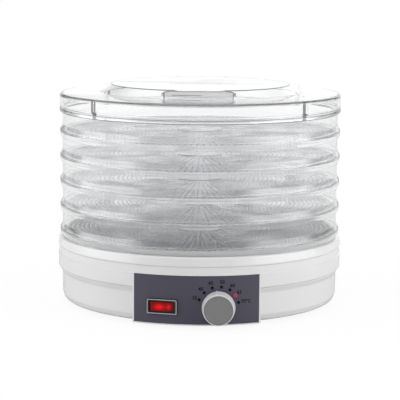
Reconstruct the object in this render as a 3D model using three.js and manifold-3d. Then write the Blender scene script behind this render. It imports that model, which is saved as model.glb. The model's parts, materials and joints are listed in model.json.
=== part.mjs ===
// Electric food dehydrator: a round fan-heater base, five stacking trays and a clear lid.
// Millimetres, +Z up. The front, with the control panel, faces -Y. The drum's own axis is
// vertical; the whole product is shifted along Y so that the origin is the bottom centre of its box.

import * as THREE from 'three';
import { mergeVertices } from 'three/addons/utils/BufferGeometryUtils.js';
import Module from 'manifold-3d';

const wasm = await Module();
wasm.setup();

// ---- Driving dimensions ----

const SEGMENTS = 36; // steps round every large turned shape, so that nested rings line up
const GAP = 0.3; // clearance between pieces that touch

const FOOT_HEIGHT = 3.5;
const FOOT_CIRCLE_RADIUS = 118;
const SEAM_HEIGHT = 42; // where the upper base shell starts
const BASE_HEIGHT = 83.5; // top of the neck that carries the first tray
const BASE_RADIUS = 162.4; // upper base shell
const PAN_RADIUS = 157.7; // lower base shell
const SHELL_WALL = 2.5;
const DECK_HEIGHT = 75.5; // base deck at the air outlet

const TRAY_COUNT = 5;
const TRAY_PITCH = 28.1;
const TRAY_RADIUS = 157; // outside of a tray wall
const BEAD_RADIUS = 160; // outside of the bead that covers the rim below
const SKIRT_DROP = 6; // how far a skirt reaches below the rim that it sits on
const TRAY_WALL = 2;
const TRAY_FLOOR = 1.3;
const TRAY_SLOTS = 5; // slots in the inner ring of the tray floor; the outer ring has twice as many

const LID_RADIUS = 160;
const LID_WALL = 2;
const GRIP_HALF_WIDTH = 38;

const SCREW_CIRCLE_RADIUS = 138;
const SCREW_ANGLES = [70, 110, 250, 290]; // degrees from the front
const DUCT_RADIUS = 62;

const PANEL_HALF_ANGLE = 24.4; // degrees
const FRAME_HALF_ANGLE = 25.6;
const PANEL_BOTTOM = 5;
const PANEL_TOP = 57.2;
const CONTROL_HEIGHT = 23.5; // switch and knob axes

const SWITCH_OFFSET = -36.4;
const SWITCH_ANGLE = Math.asin(SWITCH_OFFSET / BASE_RADIUS); // the switch faces straight out of the panel
const SWITCH_FLANGE = { width: 31.8, height: 15, thickness: 2 };
const SWITCH_BODY = { width: 28.6, height: 12.4, depth: 20 };
const SWITCH_WINDOW = { width: 26.6, height: 10.6 };
const SWITCH_WELL = 9.4; // depth of the well that the rocker sits in, from the flange's front
const ROCKER_PIVOT_DEPTH = 3.4; // pivot behind the flange's front
const ROCKER_TILT = 9; // degrees either side of level

const KNOB_OFFSET = 23.8;
const KNOB_BACK = BASE_RADIUS + 0.5;
const KNOB_DEPTH = 15;
const KNOB_RADIUS = 18;
const KNOB_POINTER_ANGLE = -7; // degrees clockwise from straight up
const SPINDLE_RADIUS = 3;

const GLAND_END = 168;
const GLAND_HEIGHT = 22;

const FRONT_REACH = KNOB_BACK + KNOB_DEPTH;
const AXIS_Y = (FRONT_REACH - GLAND_END) / 2;

// ---- Materials ----

function finish(color, roughness, metalness = 0, opacity = 1) {
  return new THREE.MeshStandardMaterial({ color, roughness, metalness, opacity, transparent: opacity < 1 });
}

const CLEAR = finish(0xe9eef0, 0.08, 0, 0.3);
const WHITE = finish(0xe8e8e6, 0.35);
const SLATE = finish(0x4a4856, 0.3);
const BLACK = finish(0x151515, 0.4);
const RED = finish(0xd01018, 0.2, 0, 0.85);
const SILVER = finish(0xd0d0d2, 0.35);
const GREY = finish(0x838383, 0.6);
const STEEL = finish(0xb8bbbe, 0.35, 1);
const BRASS = finish(0xb5924c, 0.35, 1);
const COPPER = finish(0xb06a42, 0.35, 1);
const NICHROME = finish(0x6d6a66, 0.5, 1);
const MICA = finish(0xb9ac93, 0.7);
const RUBBER = finish(0x2b2b2d, 0.9);
const INSULATION = finish(0xd8d4c8, 0.5);

// ---- Shape helpers. Angles on plan are degrees from the front (-Y), positive towards +X. ----

const radians = THREE.MathUtils.degToRad;

function onPlan(radius, angle) {
  return [radius * Math.sin(radians(angle)), -radius * Math.cos(radians(angle))];
}

function signedVolume(position, index) {
  const [a, b, c] = [new THREE.Vector3(), new THREE.Vector3(), new THREE.Vector3()];
  let volume = 0;
  for (let i = 0; i < index.length; i += 3) {
    a.fromBufferAttribute(position, index[i]);
    b.fromBufferAttribute(position, index[i + 1]);
    c.fromBufferAttribute(position, index[i + 2]);
    volume += a.dot(b.cross(c)) / 6;
  }
  return volume;
}

// A closed geometry as a solid for cutting and joining, with its faces turned outwards.
function toSolid(geometry) {
  geometry.deleteAttribute('normal');
  geometry.deleteAttribute('uv');
  const merged = mergeVertices(geometry, 1e-4);
  const source = merged.index.array;
  const triangles = [];
  for (let i = 0; i < source.length; i += 3) {
    const [a, b, c] = [source[i], source[i + 1], source[i + 2]];
    if (a !== b && b !== c && c !== a) triangles.push(a, b, c);
  }
  if (signedVolume(merged.attributes.position, triangles) < 0) triangles.reverse();
  return new wasm.Manifold(
    new wasm.Mesh({
      numProp: 3,
      vertProperties: new Float32Array(merged.attributes.position.array),
      triVerts: new Uint32Array(triangles),
    }),
  );
}

function toGeometry(solid) {
  const mesh = solid.getMesh();
  const geometry = new THREE.BufferGeometry();
  geometry.setAttribute('position', new THREE.BufferAttribute(new Float32Array(mesh.vertProperties), 3));
  geometry.setIndex(new THREE.BufferAttribute(new Uint32Array(mesh.triVerts), 1));
  geometry.computeVertexNormals();
  return geometry;
}

function joined(...solids) {
  return solids.reduce((whole, solid) => whole.add(solid));
}

function cut(solid, ...tools) {
  return tools.reduce((rest, tool) => rest.subtract(tool), solid);
}

// Turns a closed outline of [radius, height] points about the vertical axis.
function turned(profile, segments = SEGMENTS) {
  const points = [...profile, profile[0]].map(([r, z]) => new THREE.Vector2(r, z));
  return toSolid(new THREE.LatheGeometry(points, segments).rotateX(Math.PI / 2));
}

// Turns an outline of [radius, distance] points about the line that runs out of the front, towards -Y.
function turnedForward(profile, x, z, segments) {
  const points = [...profile, profile[0]].map(([r, out]) => new THREE.Vector2(r, -out));
  return toSolid(new THREE.LatheGeometry(points, segments).translate(x, 0, z));
}

// A straight-sided block from an outline of [x, y] points, between two heights.
function prism(outline, bottom, top) {
  const shape = new THREE.Shape(outline.map(([x, y]) => new THREE.Vector2(x, y)));
  const geometry = new THREE.ExtrudeGeometry(shape, { depth: top - bottom, bevelEnabled: false });
  return toSolid(geometry.translate(0, 0, bottom));
}

function block([x0, y0, z0], [x1, y1, z1]) {
  const geometry = new THREE.BoxGeometry(x1 - x0, y1 - y0, z1 - z0);
  return toSolid(geometry.translate((x0 + x1) / 2, (y0 + y1) / 2, (z0 + z1) / 2));
}

function post(x, y, radius, bottom, top, sides = 16) {
  const geometry = new THREE.CylinderGeometry(radius, radius, top - bottom, sides).rotateX(Math.PI / 2);
  return toSolid(geometry.translate(x, y, (bottom + top) / 2));
}

// A block whose plan is a piece of a ring.
function ringPiece(inner, outer, from, to, bottom, top, steps = 12) {
  return prism(ringOutline(inner, outer, from, to, steps), bottom, top);
}

function ringOutline(inner, outer, from, to, steps) {
  const angles = Array.from({ length: steps + 1 }, (_, i) => from + ((to - from) * i) / steps);
  return [...angles.map((a) => onPlan(outer, a)), ...angles.reverse().map((a) => onPlan(inner, a))];
}

function wireAlong(points, radius, sides = 6) {
  const curve = new THREE.CatmullRomCurve3(points.map(([x, y, z]) => new THREE.Vector3(x, y, z)));
  const corners = Array.from({ length: sides }, (_, i) => (2 * Math.PI * i) / sides);
  const section = new THREE.Shape(corners.map((a) => new THREE.Vector2(radius * Math.cos(a), radius * Math.sin(a))));
  return toSolid(new THREE.ExtrudeGeometry(section, { extrudePath: curve, steps: 3 * (points.length - 1) }));
}

function addPart(parent, name, solid, material) {
  const mesh = new THREE.Mesh(toGeometry(solid), material);
  mesh.name = name;
  parent.add(mesh);
  return mesh;
}

// ---- Lower base shell, feet and screws ----

const FLOOR_TOP = FOOT_HEIGHT + SHELL_WALL;
const PAN_TOP = SEAM_HEIGHT - GAP;
const MOTOR_BOSS_OFFSET = 54;
const MOTOR_BOSS_TOP = 10;

function switchHole() {
  const half = { w: SWITCH_BODY.width / 2 + 0.4, h: SWITCH_BODY.height / 2 + 0.4 };
  const box = new THREE.BoxGeometry(2 * half.w, 40, 2 * half.h);
  box.translate(0, -BASE_RADIUS, CONTROL_HEIGHT).rotateZ(SWITCH_ANGLE);
  return toSolid(box);
}

function spindleHole(radius) {
  const rod = new THREE.CylinderGeometry(radius, radius, 60, 16);
  return toSolid(rod.translate(KNOB_OFFSET, -BASE_RADIUS, CONTROL_HEIGHT));
}

function inletSlots() {
  const slots = [];
  for (let angle = 12; angle < 360; angle += 24) {
    const slot = new THREE.BoxGeometry(3.6, 26, 10);
    slots.push(toSolid(slot.translate(0, -36, FOOT_HEIGHT).rotateZ(radians(angle))));
  }
  return slots;
}

function lowerShell() {
  const inner = PAN_RADIUS - SHELL_WALL;
  const shell = turned([
    [0, FOOT_HEIGHT],
    [148.5, FOOT_HEIGHT],
    [153.5, FOOT_HEIGHT + 1.6],
    [156.8, FOOT_HEIGHT + 5],
    [PAN_RADIUS, FOOT_HEIGHT + 9.5],
    [PAN_RADIUS, PAN_TOP],
    [inner, PAN_TOP],
    [inner, FOOT_HEIGHT + 9],
    [152.2, FLOOR_TOP + 1.6],
    [147.5, FLOOR_TOP],
    [0, FLOOR_TOP],
  ]);
  const bosses = [-MOTOR_BOSS_OFFSET, MOTOR_BOSS_OFFSET].map((x) =>
    cut(post(x, 0, 5, FLOOR_TOP - 1, MOTOR_BOSS_TOP), post(x, 0, 1.5, FLOOR_TOP, MOTOR_BOSS_TOP + 1, 8)),
  );
  const screwHoles = SCREW_ANGLES.map((angle) => post(...onPlan(SCREW_CIRCLE_RADIUS, angle), 1.9, 0, 12, 10));
  const glandHole = toSolid(
    new THREE.CylinderGeometry(6.4, 6.4, 20, 16).translate(0, PAN_RADIUS, GLAND_HEIGHT),
  );
  return cut(joined(shell, ...bosses), ...screwHoles, ...inletSlots(), glandHole, switchHole(), spindleHole(6));
}

function foot() {
  return turned(
    [
      [0, 0],
      [9, 0],
      [10.5, 1],
      [10.5, FOOT_HEIGHT - GAP],
      [0, FOOT_HEIGHT - GAP],
    ],
    16,
  );
}

function shellScrew() {
  return turned(
    [
      [0, 0.9],
      [3.4, 0.9],
      [3.8, 1.5],
      [3.8, FOOT_HEIGHT - GAP],
      [1.5, FOOT_HEIGHT - GAP],
      [1.5, 19],
      [0, 19],
    ],
    10,
  );
}

// ---- Upper base shell with its deck, neck and screw posts ----

const DECK_OPENING = 60;
const DECK_EDGE = 154.8;
const DECK_EDGE_HEIGHT = DECK_HEIGHT + 2.5;

function upperShell() {
  const inner = BASE_RADIUS - SHELL_WALL;
  const tongue = PAN_RADIUS - SHELL_WALL - GAP;
  const shell = turned([
    [BASE_RADIUS - 1.2, SEAM_HEIGHT],
    [BASE_RADIUS, SEAM_HEIGHT + 1.5],
    [BASE_RADIUS, 68],
    [BASE_RADIUS - 1, 72],
    [BASE_RADIUS - 2.6, 75],
    [TRAY_RADIUS + 1, 77],
    [TRAY_RADIUS, 77.2],
    [TRAY_RADIUS, BASE_HEIGHT],
    [TRAY_RADIUS - TRAY_WALL, BASE_HEIGHT],
    [DECK_EDGE, DECK_EDGE_HEIGHT],
    [DECK_OPENING, DECK_HEIGHT],
    [DECK_OPENING, DECK_HEIGHT - SHELL_WALL],
    [152.5, DECK_EDGE_HEIGHT - SHELL_WALL],
    [157, 73.6],
    [inner, 68],
    [inner, SEAM_HEIGHT + 2.5],
    [tongue - 2.3, SEAM_HEIGHT + 2.5],
    [tongue - 2.3, SEAM_HEIGHT - 4],
    [tongue, SEAM_HEIGHT - 4],
    [tongue, SEAM_HEIGHT],
  ]);
  const posts = SCREW_ANGLES.map((angle) => {
    const [x, y] = onPlan(SCREW_CIRCLE_RADIUS, angle);
    return cut(post(x, y, 5.5, FLOOR_TOP + GAP, DECK_HEIGHT), post(x, y, 1.8, 0, 22, 10));
  });
  const windowHalf = FRAME_HALF_ANGLE + 0.15;
  const panelWindow = ringPiece(156.2, 170, -windowHalf, windowHalf, 30, PANEL_TOP + 0.6);
  return cut(joined(shell, ...posts), panelWindow);
}

// ---- Control panel and its frame ----

const FRAME_INNER = PAN_RADIUS + 0.5;
const PANEL_INNER = BASE_RADIUS - 1.9;

function panelFrame() {
  const top = PANEL_TOP + GAP;
  const outside = ringPiece(FRAME_INNER, BASE_RADIUS, -FRAME_HALF_ANGLE, FRAME_HALF_ANGLE, FOOT_HEIGHT, top);
  const seatHalf = PANEL_HALF_ANGLE + 0.15;
  const seat = ringPiece(PANEL_INNER - GAP, 170, -seatHalf, seatHalf, PANEL_BOTTOM - GAP, top + 1);
  return cut(outside, seat, switchHole(), spindleHole(6));
}

// The boss gives the spindle nut a flat seat on the curved panel.
function controlPanel() {
  const half = PANEL_HALF_ANGLE;
  const plate = ringPiece(PANEL_INNER, BASE_RADIUS, -half, half, PANEL_BOTTOM, PANEL_TOP, 16);
  const bossLength = 9;
  const boss = new THREE.CylinderGeometry(10, 10, bossLength, 20);
  boss.translate(KNOB_OFFSET, -BASE_RADIUS + bossLength / 2, CONTROL_HEIGHT);
  const behind = ringPiece(140, PANEL_INNER, -half - 5, half + 5, 0, 60, 20);
  return cut(joined(plate, cut(toSolid(boss), behind)), switchHole(), spindleHole(5));
}

// ---- Rocker switch, built facing -Y about its own centre with the flange's front at y = 0 ----

function switchBody() {
  const { width, height, thickness } = SWITCH_FLANGE;
  const flange = block([-width / 2, 0, -height / 2], [width / 2, thickness, height / 2]);
  const housing = block(
    [-SWITCH_BODY.width / 2, thickness - 0.5, -SWITCH_BODY.height / 2],
    [SWITCH_BODY.width / 2, thickness + SWITCH_BODY.depth, SWITCH_BODY.height / 2],
  );
  const well = block(
    [-SWITCH_WINDOW.width / 2, -1, -SWITCH_WINDOW.height / 2],
    [SWITCH_WINDOW.width / 2, SWITCH_WELL, SWITCH_WINDOW.height / 2],
  );
  const pivotHoles = post(0, ROCKER_PIVOT_DEPTH, 1.3, -SWITCH_BODY.height, SWITCH_BODY.height, 12);
  return cut(joined(flange, housing), well, pivotHoles);
}

// The rocker turns about a vertical pin; its crest is over the pin and its ends slope away.
function rocker() {
  const half = 12.4;
  const outline = [
    [-half, -3.4],
    [0, -5],
    [half, -3.4],
    [half, 1],
    [4, 4],
    [-4, 4],
    [-half, 1],
  ];
  const height = 9.8;
  return joined(prism(outline, -height / 2, height / 2), post(0, 0, 1, -height / 2 - 1, height / 2 + 1, 12));
}

function switchBlade() {
  const start = SWITCH_FLANGE.thickness + SWITCH_BODY.depth + GAP;
  return block([-0.4, start, -2.4], [0.4, start + 8, 2.4]);
}

// ---- Thermostat with spindle, nut, sensing bulb and knob, turned about the knob's own line ----

const THERMOSTAT_FRONT = PAN_RADIUS - 10;
const BUSH_END = KNOB_BACK + 2.4;
const THERMOSTAT_REAR = THERMOSTAT_FRONT - 18;

function thermostatBody() {
  return turnedForward(
    [
      [SPINDLE_RADIUS + GAP, BUSH_END],
      [4.6, BUSH_END],
      [4.6, THERMOSTAT_FRONT],
      [14, THERMOSTAT_FRONT],
      [14, THERMOSTAT_REAR],
      [SPINDLE_RADIUS + GAP, THERMOSTAT_REAR],
    ],
    KNOB_OFFSET,
    CONTROL_HEIGHT,
    20,
  );
}

function spindle() {
  return turnedForward(
    [
      [0, THERMOSTAT_REAR + 2],
      [SPINDLE_RADIUS, THERMOSTAT_REAR + 2],
      [SPINDLE_RADIUS, KNOB_BACK + KNOB_DEPTH - 4.3],
      [0, KNOB_BACK + KNOB_DEPTH - 4.3],
    ],
    KNOB_OFFSET,
    CONTROL_HEIGHT,
    16,
  );
}

function spindleNut() {
  const nut = turnedForward(
    [
      [4.9, BASE_RADIUS + GAP],
      [7.4, BASE_RADIUS + GAP],
      [7.4, BASE_RADIUS + GAP + 2.2],
      [4.9, BASE_RADIUS + GAP + 2.2],
    ],
    KNOB_OFFSET,
    CONTROL_HEIGHT,
    6,
  );
  const bore = new THREE.CylinderGeometry(4.9, 4.9, 20, 16);
  return cut(nut, toSolid(bore.translate(KNOB_OFFSET, -BASE_RADIUS, CONTROL_HEIGHT)));
}

function knobBody() {
  const front = KNOB_BACK + KNOB_DEPTH;
  const skirt = turnedForward(
    [
      [KNOB_RADIUS, KNOB_BACK],
      [KNOB_RADIUS, KNOB_BACK + 2],
      [16.6, front - 1],
      [16.1, front],
      [15.8, front],
      [15.8, front - 1.6],
      [0, front - 1.6],
      [0, front - 4],
      [SPINDLE_RADIUS + GAP, front - 4],
      [SPINDLE_RADIUS + GAP, KNOB_BACK + 3.5],
      [6.5, KNOB_BACK + 3.5],
      [6.5, front - 4],
      [14.5, front - 4],
      [16, KNOB_BACK],
    ],
    KNOB_OFFSET,
    CONTROL_HEIGHT,
    24,
  );
  const pointer = new THREE.BoxGeometry(2, KNOB_DEPTH - 3, 3);
  pointer.translate(0, -KNOB_BACK - (KNOB_DEPTH - 3) / 2, KNOB_RADIUS - 0.6);
  pointer.rotateY(radians(KNOB_POINTER_ANGLE)).translate(KNOB_OFFSET, 0, CONTROL_HEIGHT);
  return joined(skirt, toSolid(pointer));
}

function knobFace() {
  const front = KNOB_BACK + KNOB_DEPTH - GAP;
  return turnedForward(
    [
      [0, front - 1],
      [15.4, front - 1],
      [15.4, front - 0.2],
      [15, front],
      [0, front],
    ],
    KNOB_OFFSET,
    CONTROL_HEIGHT,
    24,
  );
}

const BULB_START = [34, -92, 62];

function sensingBulb() {
  const bulb = new THREE.CylinderGeometry(3, 3, 46, 10).rotateZ(Math.PI / 2);
  return toSolid(bulb.translate(BULB_START[0] + 23, BULB_START[1], BULB_START[2]));
}

// ---- Fan: bracket, motor, shaft and impeller on the drum's axis ----

const BRACKET_TOP = MOTOR_BOSS_TOP + GAP + 1.5;
const MOTOR_TOP = 34;
const FAN_HEIGHT = 42;

function motorBracket() {
  const reach = MOTOR_BOSS_OFFSET + 7;
  const bar = block([-reach, -9, BRACKET_TOP - 1.5], [reach, 9, BRACKET_TOP]);
  const holes = [-MOTOR_BOSS_OFFSET, MOTOR_BOSS_OFFSET].map((x) => post(x, 0, 1.9, 0, 20, 10));
  return cut(bar, ...holes);
}

function bracketScrew() {
  const top = BRACKET_TOP + GAP;
  return turned(
    [
      [0, top - 5],
      [1.2, top - 5],
      [1.2, top],
      [3, top],
      [3, top + 1.8],
      [0, top + 1.8],
    ],
    10,
  );
}

function motor() {
  return turned(
    [
      [0, BRACKET_TOP + GAP],
      [14.5, BRACKET_TOP + GAP],
      [14.5, MOTOR_TOP - 3],
      [5, MOTOR_TOP - 3],
      [5, MOTOR_TOP],
      [1.8, MOTOR_TOP],
      [1.8, BRACKET_TOP + 6],
      [0, BRACKET_TOP + 6],
    ],
    20,
  );
}

function motorShaft() {
  return post(0, 0, 1.5, BRACKET_TOP + 7, FAN_HEIGHT + 4, 12);
}

function impeller() {
  const hub = turned(
    [
      [1.8, FAN_HEIGHT - 6],
      [12, FAN_HEIGHT - 6],
      [12, FAN_HEIGHT + 4],
      [10, FAN_HEIGHT + 6],
      [0, FAN_HEIGHT + 6],
      [0, FAN_HEIGHT + 4.3],
      [1.8, FAN_HEIGHT + 4.3],
    ],
    20,
  );
  const blades = [0, 72, 144, 216, 288].map((angle) => {
    const blade = new THREE.BoxGeometry(17, 42, 1.6).rotateY(radians(28));
    return toSolid(blade.translate(0, -32, FAN_HEIGHT).rotateZ(radians(angle)));
  });
  return joined(hub, ...blades);
}

// ---- Heater: duct, mica cross, two wound coils and a thermal fuse ----

const HEATER_HEIGHT = 62;
const COIL_RADII = [28, 44];
const COIL_THICKNESS = 2;

function heaterDuct() {
  const duct = turned([
    [DUCT_RADIUS, 30],
    [DUCT_RADIUS + 1.2, 30],
    [DUCT_RADIUS + 1.2, DECK_HEIGHT - SHELL_WALL - GAP],
    [DUCT_RADIUS, DECK_HEIGHT - SHELL_WALL - GAP],
  ]);
  return cut(duct, block([50, 7, 56], [70, 13, 62])); // the block makes the heater wire's way in
}

function micaCross() {
  const reach = DUCT_RADIUS - 1;
  const [low, high] = [HEATER_HEIGHT - 8, HEATER_HEIGHT + 8];
  const boards = [
    block([-reach, -0.7, low], [reach, 0.7, high]),
    block([-0.7, -reach, low], [0.7, reach, high]),
  ];
  const notches = COIL_RADII.flatMap((radius) =>
    [radius, -radius].flatMap((at) => [
      block([at - 2.6, -3, HEATER_HEIGHT - 2.6], [at + 2.6, 3, high + 1]),
      block([-3, at - 2.6, HEATER_HEIGHT - 2.6], [3, at + 2.6, high + 1]),
    ]),
  );
  return cut(joined(...boards), ...notches);
}

function heaterCoil(radius) {
  return toSolid(new THREE.TorusGeometry(radius, COIL_THICKNESS, 6, 20).translate(0, 0, HEATER_HEIGHT));
}

function thermalFuse() {
  return post(...onPlan(54, 45), 2.4, HEATER_HEIGHT - 8, HEATER_HEIGHT + 6, 10);
}

// The outlet grille is a shallow dome over the duct, slotted all round.
function outletGrille() {
  const edge = DECK_HEIGHT + GAP;
  const profile = [
    [0, edge + 4.7],
    [40, edge + 4.4],
    [58, edge + 3.4],
    [68, edge + 0.6],
    [68, edge + 0.4],
    [56, edge + 1.2],
    [40, edge + 2.4],
    [0, edge + 2.7],
  ];
  const slots = [];
  for (let angle = 0; angle < 360; angle += 24) {
    const slot = new THREE.BoxGeometry(3.4, 30, 20).translate(0, -38, edge).rotateZ(radians(angle));
    slots.push(toSolid(slot));
  }
  return cut(turned(profile, 24), ...slots);
}

// ---- Supply: gland at the back, terminal block and the inner wires ----

function cordGland() {
  const profile = [
    [3.6, -GLAND_END],
    [5, -GLAND_END],
    [6.4, -PAN_RADIUS - 3.6],
    [9, -PAN_RADIUS - 3.2],
    [9, -PAN_RADIUS - 0.4],
    [6, -PAN_RADIUS - 0.4],
    [6, -PAN_RADIUS + 8],
    [3.6, -PAN_RADIUS + 8],
  ];
  return turnedForward(profile, 0, GLAND_HEIGHT, 20);
}

const TERMINAL_X = -72;
const TERMINAL_Y = 92;

function terminalBlock() {
  const bottom = FLOOR_TOP + GAP;
  const body = block([TERMINAL_X - 16, TERMINAL_Y - 9, bottom], [TERMINAL_X + 16, TERMINAL_Y + 9, bottom + 13]);
  const wells = [-10, 0, 10].flatMap((dx) =>
    [-4.5, 4.5].map((dy) => post(TERMINAL_X + dx, TERMINAL_Y + dy, 2, bottom + 6, bottom + 20, 8)),
  );
  return cut(body, ...wells);
}

const WIRE_ROUTES = {
  wire_supply_live: [
    [-1.6, 145, 22],
    [-12, 136, 18],
    [-38, 124, 12],
    [-66, 112, 12],
    [-72, 101.6, 12.5],
  ],
  wire_supply_neutral: [
    [1.6, 145, 22],
    [2, 134, 16],
    [-24, 112, 10],
    [-44, 98, 10],
    [-55, 92, 12.5],
  ],
  wire_to_switch: [
    [-82, 82.4, 12.5],
    [-96, 50, 11],
    [-104, -10, 11],
    [-90, -70, 12],
    [-62, -110, 18],
    [-44, -124.5, 23.5],
  ],
  wire_to_thermostat: [
    [-27.5, -127.5, 23.5],
    [-22, -115, 22],
    [-4, -108, 20],
    [8, -114, 20],
    [16, -128.6, 22],
  ],
  wire_to_heater: [
    [28, -128.6, 26],
    [48, -112, 30],
    [86, -60, 44],
    [86, -4, 56],
    [70, 10, 59],
    [50, 10, 59.2],
  ],
  wire_to_motor: [
    [-72, 82.4, 12.5],
    [-60, 62, 10],
    [-38, 34, 10],
    [-22, 16, 18],
    [-13.5, 8, 22],
  ],
};

const CAPILLARY_ROUTE = [
  [36, -128.6, 30],
  [44, -118, 44],
  [22, -98, 60],
  [33.4, -92, 62],
];

// ---- Trays ----

// One tray, with z = 0 at the rim that it sits on. Its floor is pierced all over by radial slots.
function tray() {
  const inner = TRAY_RADIUS - TRAY_WALL;
  const body = turned([
    [TRAY_RADIUS + 0.4, -SKIRT_DROP],
    [TRAY_RADIUS + 1.4, -SKIRT_DROP],
    [BEAD_RADIUS, -2.2],
    [BEAD_RADIUS, 2],
    [TRAY_RADIUS + 1, 5.6],
    [TRAY_RADIUS, 7.4],
    [TRAY_RADIUS, TRAY_PITCH],
    [inner, TRAY_PITCH],
    [inner, GAP + TRAY_FLOOR],
    [0, GAP + TRAY_FLOOR],
    [0, GAP],
    [TRAY_RADIUS + 0.5, GAP],
  ]);
  return cut(body, ...slotRing(TRAY_SLOTS, 22, 76), ...slotRing(2 * TRAY_SLOTS, 86, 146));
}

function slotRing(count, from, to) {
  return Array.from({ length: count }, (_, i) => {
    const slot = new THREE.BoxGeometry(3.6, to - from, 10).translate(0, -(from + to) / 2, 0);
    return toSolid(slot.rotateZ((2 * Math.PI * (i + 0.5)) / count));
  });
}

// ---- Lid ----

const LID_SHOULDER = 15.6; // heights above the top tray's rim
const DISC_FOOT = 17;
const DISC_TOP = 25.8;
const LID_TOP = 26;

// Grip recess: the sloping side of the disc is set back to a wall that fingers reach behind.
function gripRecess() {
  const half = GRIP_HALF_WIDTH;
  const back = -98;
  const hollow = block([-half, -125, DISC_FOOT + 0.3], [half, back, LID_TOP + 1]);
  const shellWalls = block([-half - LID_WALL, -125, DISC_FOOT - LID_WALL], [half + LID_WALL, back + LID_WALL, 30]);
  const slot = block([-half + 6, back - 1, DISC_FOOT + 2.5], [half - 6, back + LID_WALL + 1, DISC_FOOT + 5.5]);
  return { hollow, shellWalls, slot };
}

function lidProfile(inset) {
  const w = inset;
  return [
    [LID_RADIUS - w, LID_SHOULDER - 3.6 - w * 0.2],
    [LID_RADIUS - 1.4 - w * 0.7, LID_SHOULDER - 1.1 - w * 0.7],
    [LID_RADIUS - 4 - w * 0.2, LID_SHOULDER - w],
    [115 - w * 0.3, DISC_FOOT - w],
    [101.6 - w * 0.3, DISC_TOP - 0.6 - w],
    [99.6, DISC_TOP - w],
    [0, LID_TOP - w],
  ];
}

function lidRib(angle) {
  const bottom = GAP;
  const rib = block([-1.6, -LID_RADIUS + 1, bottom], [1.6, -LID_RADIUS + 5, LID_SHOULDER - 1.5]);
  const tab = block([-2, -LID_RADIUS + 1, bottom], [2, -LID_RADIUS + 7, bottom + 3]);
  const matrix = new THREE.Matrix4().makeRotationZ(radians(angle));
  const geometry = toGeometry(joined(rib, tab)).applyMatrix4(matrix);
  return toSolid(geometry);
}

function lid() {
  const ledge = 155.4;
  const outer = lidProfile(0);
  const inner = lidProfile(LID_WALL);
  const skirt = [
    [TRAY_RADIUS + 0.4, -SKIRT_DROP],
    [LID_RADIUS - 1, -SKIRT_DROP],
    [LID_RADIUS + 0.6, -4],
    [LID_RADIUS + 0.4, -2],
    [LID_RADIUS, -1.2],
  ];
  const ledgeRing = [
    [LID_RADIUS - LID_WALL, 1.8],
    [ledge, 1.8],
    [ledge, GAP],
    [TRAY_RADIUS + 0.6, GAP],
  ];
  const shell = turned([...skirt, ...outer, ...inner.reverse(), ...ledgeRing]);
  // Solid under the outer skin, used to trim the recess walls to the lid's own outline.
  const envelope = turned([[0, 2], [LID_RADIUS - LID_WALL - 4, 2], ...outer.slice(2)]);
  const recess = gripRecess();
  const turnedBack = (solid) => toSolid(toGeometry(solid).rotateZ(Math.PI));
  const hollows = [recess.hollow, turnedBack(recess.hollow)];
  const walls = [recess.shellWalls, turnedBack(recess.shellWalls)].map((wall) => wall.intersect(envelope));
  const slots = [recess.slot, turnedBack(recess.slot)];
  const pipHole = post(...onPlan(130, 62), 1.6, 5, 30, 10);
  const ribs = [47.5, -47.5, 132.5, -132.5].map(lidRib);
  return cut(joined(shell, ...walls, ...ribs), ...hollows, ...slots, pipHole);
}

// ---- Assembly ----

const product = new THREE.Group();
product.position.y = AXIS_Y;

addPart(product, 'base_lower_shell', lowerShell(), WHITE);
addPart(product, 'base_upper_shell', upperShell(), WHITE);
addPart(product, 'panel_frame', panelFrame(), WHITE);
addPart(product, 'control_panel', controlPanel(), SLATE);

SCREW_ANGLES.forEach((angle, i) => {
  const screw = addPart(product, `shell_screw_${i + 1}`, shellScrew(), STEEL);
  screw.position.set(...onPlan(SCREW_CIRCLE_RADIUS, angle), 0);
});

[45, 135, 225, 315].forEach((angle, i) => {
  const pad = addPart(product, `foot_${i + 1}`, foot(), RUBBER);
  pad.position.set(...onPlan(FOOT_CIRCLE_RADIUS, angle), 0);
});

const switchMount = new THREE.Group();
const flangeFront = BASE_RADIUS + GAP + SWITCH_FLANGE.thickness;
switchMount.rotation.z = SWITCH_ANGLE;
switchMount.position.set(
  flangeFront * Math.sin(SWITCH_ANGLE),
  -flangeFront * Math.cos(SWITCH_ANGLE),
  CONTROL_HEIGHT,
);
product.add(switchMount);
addPart(switchMount, 'switch_body', switchBody(), BLACK);
const rockerMesh = addPart(switchMount, 'switch_rocker', rocker(), RED);
rockerMesh.position.y = ROCKER_PIVOT_DEPTH;
rockerMesh.rotation.z = radians(ROCKER_TILT);
[-9, 0, 9].forEach((offset, i) => {
  addPart(switchMount, `switch_blade_${i + 1}`, switchBlade(), BRASS).position.x = offset;
});

addPart(product, 'thermostat_body', thermostatBody(), STEEL);
addPart(product, 'thermostat_spindle', spindle(), STEEL);
addPart(product, 'thermostat_nut', spindleNut(), BRASS);
addPart(product, 'thermostat_bulb', sensingBulb(), COPPER);
addPart(product, 'thermostat_capillary', wireAlong(CAPILLARY_ROUTE, 0.8), COPPER);
addPart(product, 'knob_body', knobBody(), SILVER);
addPart(product, 'knob_face', knobFace(), GREY);

addPart(product, 'motor_bracket', motorBracket(), STEEL);
[-MOTOR_BOSS_OFFSET, MOTOR_BOSS_OFFSET].forEach((x, i) => {
  addPart(product, `bracket_screw_${i + 1}`, bracketScrew(), STEEL).position.x = x;
});
addPart(product, 'fan_motor', motor(), STEEL);
addPart(product, 'motor_shaft', motorShaft(), STEEL);
addPart(product, 'fan_impeller', impeller(), BLACK);

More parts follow.
